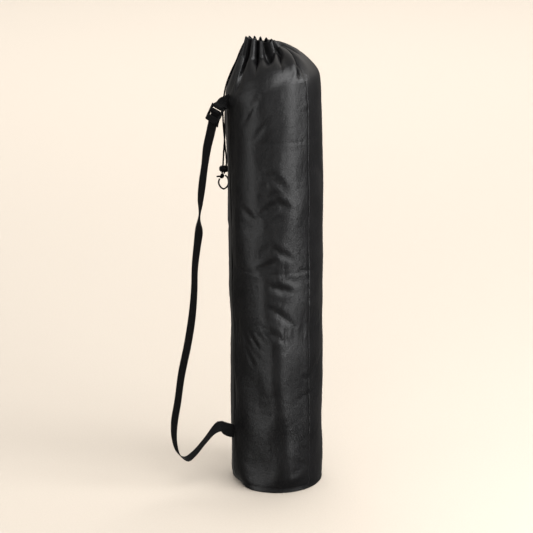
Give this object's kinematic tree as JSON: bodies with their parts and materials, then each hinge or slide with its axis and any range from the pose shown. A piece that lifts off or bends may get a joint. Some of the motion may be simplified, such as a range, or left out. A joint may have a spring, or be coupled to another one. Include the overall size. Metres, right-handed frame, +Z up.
{
  "type": "mahjong mat bag",
  "caption": "Tall cloth drawstring tube bag for a rolled mahjong mat, with a gathered mouth, a cord lock, a round base and an adjustable webbing shoulder strap.",
  "frame": {"origin": "middle of the flat base, on the surface the bag stands on", "axes": "+Z up the bag towards its mouth, -Y the front panel's side, -X the shoulder strap's side"},
  "size_m": [0.2893, 0.1831, 0.8749],
  "materials": {
    "cloth": "plain-woven nylon with a soft sheen",
    "webbing": "ribbed polypropylene webbing",
    "plastic": "moulded, fine satin",
    "cord": "braided polyester"
  },
  "bodies": {
    "root": {"front_panel": "cloth", "back_panel": "cloth", "base_panel": "cloth", "strap_tab": "webbing", "shoulder_strap": "webbing", "ladder_lock": "plastic", "cord_lock": "plastic", "drawcord_run_1": "cord", "drawcord_run_2": "cord", "drawcord_loop": "cord", "cord_knot": "cord"}
  },
  "joints": []
}
